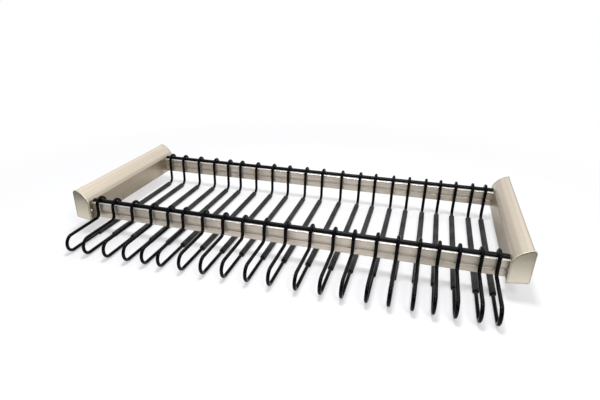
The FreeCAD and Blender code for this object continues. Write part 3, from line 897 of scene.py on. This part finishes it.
@dataclass
class Hangers(Assembly):
    """The bent wire hangers, each with a soft sleeve on its trouser bar."""

    drop_bend: float = 0.009
    riser_bend: float = 0.013
    loop_radius: float = 0.0158
    hook_tail: float = 0.003
    tip_depth: float = 0.0018
    tip_steps: int = 4
    bend_steps: int = 9
    wire_sides: int = 18
    wire_coat: float = 0.0002
    wire_weld: float = 0.00002
    sleeve_edge: float = 0.0007
    sleeve_edge_steps: int = 3
    sleeve_bore: float = 0.00305
    sleeve_pitch: float = 0.008
    sleeve_shrink: float = 0.00012
    sleeve_waves: float = 260.0
    sleeve_shift: float = 1.7
    sleeve_sides: int = 28

    def build(self) -> None:
        """Build every hanger."""
        tree = self._wire_tree()
        for number in range(1, HANGER_COUNT + 1):
            body = f"hanger_{number:02d}"
            wire_node, sleeve_node = f"hanger_wire_{number:02d}", f"hanger_sleeve_{number:02d}"
            place_piece(self._wire(tree, number, wire_node), body, Slot.WIRE, wire_node)
            place_piece(self._sleeve(number, sleeve_node), body, Slot.SLEEVE, sleeve_node)

    def _wire_tree(self) -> GeometryTree:
        """Build the tree that rounds the corners of a route and sweeps the wire along it.

        Returns:
            The tree.
        """
        sizes = {"Wire Radius": "NodeSocketFloat", "Bend Steps": "NodeSocketInt", "Sides": "NodeSocketInt"}
        tree = GeometryTree("bent_wire", sizes)
        given = tree.start.outputs
        curve = tree.chain(given["Guide"], "GeometryNodeMeshToCurve", {})
        bends = {"Count": given["Bend Steps"], "Radius": tree.attribute("bend_radius", "FLOAT")}
        curve = tree.chain(curve, "GeometryNodeFilletCurve", bends, mode="POLY")
        circle = tree.board.add("GeometryNodeCurvePrimitiveCircle", mode="RADIUS")
        tree.board.join(given["Sides"], circle.inputs["Resolution"])
        tree.board.join(given["Wire Radius"], circle.inputs["Radius"])
        sweep = {"Profile Curve": circle.outputs["Curve"], "Scale": tree.attribute("tube_scale", "FLOAT")}
        mesh = tree.chain(curve, "GeometryNodeCurveToMesh", sweep)
        mesh = tree.chain(mesh, "GeometryNodeMergeByDistance", {"Distance": self.wire_weld})
        tree.close(tree.chain(mesh, "GeometryNodeSetShadeSmooth", {}))
        return tree

    def _route(self, node: str) -> tuple[float, list[Corner]]:
        """Work out one wire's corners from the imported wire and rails.

        Args:
            node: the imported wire.

        Returns:
            The wire's radius and its corners, from the end of its front hook to the end of its rear hook.
        """
        low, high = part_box(node)
        rails = [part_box(rail) for rail in ("front_rail", "rear_rail")]
        front_y, rear_y = [midway(start.y, end.y) for start, end in rails]
        radius = 0.5 * (high.x - low.x)
        hook = high.y - radius - rear_y
        top, bottom = high.z - radius, low.z + radius
        upper, tip = bottom + 2.0 * self.loop_radius, low.y + radius
        tail = top - hook - self.hook_tail
        ends = [(self.tip_depth * rise, share) for share, rise in quarter(self.tip_steps)]
        corners = [Corner(front_y + hook, tail + rise, share=share) for rise, share in ends]
        corners += [
            Corner(front_y + hook, top, hook),
            Corner(front_y - hook, top, hook),
            Corner(front_y - hook, upper, self.drop_bend),
            Corner(tip, upper, self.loop_radius),
            Corner(tip, bottom, self.loop_radius),
            Corner(rear_y - hook, bottom, self.riser_bend),
            Corner(rear_y - hook, top, hook),
            Corner(rear_y + hook, top, hook),
        ]
        corners += [Corner(rear_y + hook, tail + rise, share=share) for rise, share in reversed(ends)]
        return radius, corners

    def _wire(self, tree: GeometryTree, number: int, node: str) -> bpy.types.Object:
        """Bend one wire.

        Args:
            tree: the wire's tree.
            number: the hanger's number.
            node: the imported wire.

        Returns:
            The wire.
        """
        low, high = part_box(node)
        middle = midway(low.x, high.x)
        radius, corners = self._route(node)
        guide = bpy.data.meshes.new(f"wire_route_{number:02d}")
        steps = [(index, index + 1) for index in range(len(corners) - 1)]
        guide.from_pydata([(middle, corner.y, corner.z) for corner in corners], steps, [])
        bends = guide.attributes.new("bend_radius", "FLOAT", "POINT")
        bends.data.foreach_set("value", [corner.bend for corner in corners])
        scales = guide.attributes.new("tube_scale", "FLOAT", "POINT")
        scales.data.foreach_set("value", [corner.share for corner in corners])
        values = {
            "Wire Radius": radius + self.wire_coat,
            "Bend Steps": self.bend_steps,
            "Sides": self.wire_sides,
            "Finish": self.palette.materials[Slot.WIRE],
        }
        return tree.run(f"bent_wire_{number:02d}", guide, values)

    def _sleeve(self, number: int, node: str) -> bpy.types.Object:
        """Turn one sleeve, with rounded ends and a slightly uneven skin.

        Args:
            number: the hanger's number.
            node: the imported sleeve.

        Returns:
            The sleeve.
        """
        low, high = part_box(node)
        radius, edge = 0.5 * (high.z - low.z), self.sleeve_edge
        rim = [(edge * lift, radius - edge + edge * share) for share, lift in quarter(self.sleeve_edge_steps)]
        count = round((high.y - low.y) / self.sleeve_pitch)
        outline = [(low.y, self.sleeve_bore)]
        outline += [(low.y + depth, size) for depth, size in rim]
        for step in range(1, count):
            place = low.y + (high.y - low.y) * step / count
            wave = 0.5 + 0.5 * math.sin(self.sleeve_waves * place + self.sleeve_shift * number)
            outline.append((place, radius - self.sleeve_shrink * wave))
        outline += [(high.y - depth, size) for depth, size in reversed(rim)]
        outline += [(high.y, self.sleeve_bore)]
        tube, rings = turned(outline, self.sleeve_sides, closed=True)
        for mouth in ring_edges(tube, rings[0]) + ring_edges(tube, rings[-1]):
            mouth.smooth = False
        middle = Vector((midway(low.x, high.x), 0.0, midway(low.z, high.z)))
        turn = Matrix.Rotation(QUARTER_TURN, 4, "Z")
        bmesh.ops.transform(tube, matrix=Matrix.Translation(middle) @ turn, verts=tube.verts)
        return draft_piece(tube, f"soft_sleeve_{number:02d}", self.palette.materials[Slot.SLEEVE])


@dataclass
class ScrewSet:
    """Equal pan-head screws on both sides of the rack, in rows along Y and tiers along Z."""

    node: str
    facing: Facing
    head_radius: float
    head_height: float
    shank_radius: float
    shank_length: float
    rows: int
    tiers: int
    sides: int = 24
    rim_steps: int = 5
    head_flat: float = 0.62
    head_side: float = 0.35
    tip_share: float = 0.55
    thread_pitch: float = 0.0009
    thread_depth: float = 0.00028
    thread_root: float = 0.45
    recess_depth: float = 0.0011
    recess_arm: float = 0.19
    recess_reach: float = 0.5
    recess_taper: float = 0.6
    first_turn: float = 0.4
    next_turn: float = 1.3

    def build(self, palette: Palette, tree: GeometryTree) -> None:
        """Set all screws of the set.

        Args:
            palette: the finishes.
            tree: the tree that sets screws.
        """
        pattern = self._one_screw()
        values = {"Screw": pattern, "Finish": palette.materials[Slot.SCREW]}
        screws = tree.run(f"{self.node}_set", self._places(), values)
        bpy.data.objects.remove(pattern)
        place_piece(screws, "rack", Slot.SCREW, self.node)

    @staticmethod
    def tree() -> GeometryTree:
        """Build the tree that puts a screw on every point of its guide.

        Returns:
            The tree.
        """
        tree = GeometryTree("set_screws", {"Screw": "NodeSocketObject"})
        screw = tree.board.add("GeometryNodeObjectInfo", tree.start.outputs["Screw"])
        turn = tree.attribute("turn", "FLOAT_VECTOR")
        values = {"Instance": screw.outputs["Geometry"], "Rotation": turn}
        points = tree.chain(tree.start.outputs["Guide"], "GeometryNodeMeshToPoints", {})
        tree.close(tree.chain(points, "GeometryNodeInstanceOnPoints", values))
        return tree

    def _places(self) -> bpy.types.Mesh:
        """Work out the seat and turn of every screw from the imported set.

        Returns:
            A mesh with one point for each screw.
        """
        low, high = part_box(self.node)
        seat = high.x - (self.shank_length if self.facing is Facing.INWARD else self.head_height)
        spots, turns = [], []
        for side, row, tier in product(Side, range(self.rows), range(self.tiers)):
            y = self._spread(low.y, high.y, row, self.rows)
            z = self._spread(low.z, high.z, tier, self.tiers)
            spots.append((side.value * seat, y, z))
            flip = 0.0 if side.value == self.facing.value else math.pi
            turns += [self.first_turn + self.next_turn * len(spots), 0.0, flip]
        guide = bpy.data.meshes.new(f"{self.node}_seats")
        guide.from_pydata(spots, [], [])
        turn = guide.attributes.new("turn", "FLOAT_VECTOR", "POINT")
        turn.data.foreach_set("vector", turns)
        return guide

    def _spread(self, low: float, high: float, index: int, count: int) -> float:
        """Centre of one head of a row that fills a stretch."""
        share = 0.5 if count == 1 else index / (count - 1)
        return low + self.head_radius + (high - low - 2.0 * self.head_radius) * share

    def _one_screw(self) -> bpy.types.Object:
        """Turn one screw with its seat at the origin and its head towards +X, and sink its cross recess.

        Returns:
            The screw.
        """
        outline = self._thread()
        outline += [(0.0, self.shank_radius), (0.0, self.head_radius)]
        base, shoulder = self.head_side * self.head_height, (1.0 - self.head_flat) * self.head_radius
        for share, lift in quarter(self.rim_steps):
            outline.append((base + (self.head_height - base) * share, self.head_radius - shoulder * lift))
        screw, rings = turned(outline, self.sides, closed=False)
        screw.faces.new(list(reversed(rings[0])))
        self._recess(screw, rings[-1])
        return draft_piece(screw, f"{self.node}_pattern")

    def _thread(self) -> list[Pair]:
        """Draw the shank: a blunt tip and thread ridges up to the seat.

        Returns:
            Place along X and radius of each ring.
        """
        outline = [(-self.shank_length, self.tip_share * self.shank_radius)]
        ridges = int(self.shank_length / self.thread_pitch) - 1
        for ridge in range(ridges):
            crest = -self.shank_length + (ridge + 1.0) * self.thread_pitch
            root = crest - self.thread_root * self.thread_pitch
            outline += [(root, self.shank_radius - self.thread_depth), (crest, self.shank_radius)]
        return outline

    def _recess(self, screw: Draft, rim: Ring) -> None:
        """Close the head with a cross recess.

        Args:
            screw: the turned screw.
            rim: the open ring at the top of its head.
        """
        arm, reach = self.recess_arm * self.head_radius, self.recess_reach * self.head_radius
        corners = []
        for quarters in range(4):
            turn = Matrix.Rotation(QUARTER_TURN * quarters, 2)
            corners += [turn @ Vector(corner) for corner in ((reach, -arm), (reach, arm), (arm, arm))]
        top, floor, taper = self.head_height, self.head_height - self.recess_depth, self.recess_taper
        upper = [screw.verts.new((top, corner.x, corner.y)) for corner in corners]
        lower = [screw.verts.new((floor, taper * corner.x, taper * corner.y)) for corner in corners]
        join_rings(screw, [upper, lower], smooth=False)
        screw.faces.new(lower)
        edges = ring_edges(screw, rim) + ring_edges(screw, upper)
        bmesh.ops.triangle_fill(screw, use_beauty=True, use_dissolve=False, edges=edges)


SCREW_SETS = (
    ScrewSet(
        "cap_screws", Facing.INWARD, 0.0028, 0.0018, 0.0015, 0.00455, rows=2, tiers=1,
        head_flat=0.4, recess_depth=0.0006, recess_arm=0.1, recess_reach=0.3
    ),
    ScrewSet("rail_screws", Facing.OUTWARD, 0.0038, 0.0022, 0.0020, 0.0198, rows=2, tiers=2),
    ScrewSet("runner_screws", Facing.OUTWARD, 0.0038, 0.0022, 0.0020, 0.0050, rows=3, tiers=1),
)


@dataclass(frozen=True)
class Lamp:
    """Square soft lamp that shines on the rack, with its share of the full light level."""

    name: str
    place: Place
    size: float
    share: float

    def hang(self) -> None:
        """Hang the lamp."""
        lamp = bpy.data.lights.new(self.name, "AREA")
        lamp.shape = "SQUARE"
        lamp.size = self.size
        place = Vector(self.place)
        lamp.energy = self.share * (math.pi * place.length) ** 2
        light = bpy.data.objects.new(self.name, lamp)
        light.location = place
        light.rotation_euler = place.to_track_quat("Z", "Y").to_euler()
        bpy.context.scene.collection.objects.link(light)


@dataclass
class Studio:
    """Pale floor, white surroundings and soft light."""

    floor_half: float = 14.0
    floor_colour: Colour = (0.95, 0.955, 0.99)
    lift_near: float = 0.4
    fade: Pair = (0.5, 1.1)
    air_span: Pair = (-0.6, 0.6)
    air_levels: Pair = (0.14, 0.96)
    air_heights: Pair = (0.0, 0.8)
    air_rise: Pair = (0.5, 1.18)
    lamps: tuple[Lamp, ...] = (
        Lamp("top_light", (0.0, 0.0, 1.75), 0.36, 0.5),
        Lamp("right_light", (0.75, -1.0, 1.25), 0.4, 0.22),
    )

    def build(self) -> None:
        """Build the floor, the air and the lamps."""
        bpy.context.scene.view_settings.view_transform = "Standard"
        self._floor()
        self._air()
        for lamp in self.lamps:
            lamp.hang()

    def _floor(self) -> None:
        """Lay a floor that is white far out and keeps a soft shadow near the rack."""
        half = self.floor_half
        corners = [(-half, -half, 0.0), (half, -half, 0.0), (half, half, 0.0), (-half, half, 0.0)]
        mesh = bpy.data.meshes.new("studio_floor")
        mesh.from_pydata(corners, [], [(0, 1, 2, 3)])
        material = bpy.data.materials.new("studio_floor_finish")
        material.use_nodes = True
        material.node_tree.nodes.clear()
        board = Board(material.node_tree)
        place = board.add("ShaderNodeTexCoord").outputs["Object"]
        reach = board.add("ShaderNodeVectorMath", place, operation="LENGTH").outputs["Value"]
        lift = board.spread(reach, self.fade, (self.lift_near, 1.0))
        path = board.add("ShaderNodeLightPath").outputs
        seen = board.math("MAXIMUM", path["Is Camera Ray"], path["Is Glossy Ray"])
        seen = board.math("MAXIMUM", seen, path["Is Transmission Ray"])
        matte = board.add("ShaderNodeBsdfDiffuse", (*self.floor_colour, 1.0)).outputs[0]
        white = board.add("ShaderNodeEmission").outputs[0]
        mix = board.add("ShaderNodeMixShader", board.math("MULTIPLY", lift, seen), matte, white)
        board.add("ShaderNodeOutputMaterial", mix.outputs[0])
        mesh.materials.append(material)
        new_piece("studio_floor", mesh)

    def _air(self) -> None:
        """Fill the surroundings: white to the camera, with dimmer light from the user's side and low down."""
        world = bpy.data.worlds.new("studio_air")
        world.use_nodes = True
        world.node_tree.nodes.clear()
        bpy.context.scene.world = world
        board = Board(world.node_tree)
        place = board.add("ShaderNodeTexCoord").outputs["Generated"]
        way = board.add("ShaderNodeSeparateXYZ", place).outputs
        level = board.spread(way["Y"], self.air_span, self.air_levels)
        rise = board.spread(way["Z"], self.air_heights, self.air_rise)
        seen = board.add("ShaderNodeLightPath").outputs["Is Camera Ray"]
        strength = board.math("MAXIMUM", board.math("MULTIPLY", level, rise), seen)
        air = board.add("ShaderNodeBackground", (1.0, 1.0, 1.0, 1.0), strength)
        board.add("ShaderNodeOutputWorld", air.outputs[0])


@dataclass
class PhotoCamera:
    """Camera at the photograph's angle."""

    place: Place = (0.241537, -0.867947, 0.450453)
    yaw: float = -18.33
    pitch: float = 26.19
    roll: float = -0.36
    focal_pixels: float = 474.428
    shift: Pair = (0.0494, 0.0489)
    sensor: float = 36.0
    clip: Pair = (0.01, 100.0)

    def build(self) -> None:
        """Set up the scene's camera."""
        yaw, pitch = math.radians(self.yaw), math.radians(self.pitch)
        level = math.cos(pitch)
        ahead = Vector((math.sin(yaw) * level, math.cos(yaw) * level, -math.sin(pitch)))
        right = Vector((math.cos(yaw), -math.sin(yaw), 0.0))
        axes = Matrix((right, right.cross(ahead), -ahead)).transposed().to_4x4()
        lens = bpy.data.cameras.new("photo_camera")
        lens.sensor_width = self.sensor
        lens.lens = self.focal_pixels * self.sensor / PHOTO_WIDTH
        lens.shift_x, lens.shift_y = self.shift
        lens.clip_start, lens.clip_end = self.clip
        camera = bpy.data.objects.new("photo_camera", lens)
        turn = axes @ Matrix.Rotation(math.radians(self.roll), 4, "Z")
        camera.matrix_world = Matrix.Translation(Vector(self.place)) @ turn
        bpy.context.scene.collection.objects.link(camera)
        bpy.context.scene.camera = camera


def main() -> None:
    """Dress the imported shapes, build the other pieces and set the stage."""
    logging.basicConfig(level=logging.INFO, format="%(name)s: %(message)s")
    palette = Palette()
    for assembly in (SideProfiles, FrontCaps, CrossRails, BallRunners, Hangers):
        assembly(palette).build()
    screw_tree = ScrewSet.tree()
    for screws in SCREW_SETS:
        screws.build(palette, screw_tree)
    Studio().build()
    PhotoCamera().build()


if __name__ == "__main__":
    main()
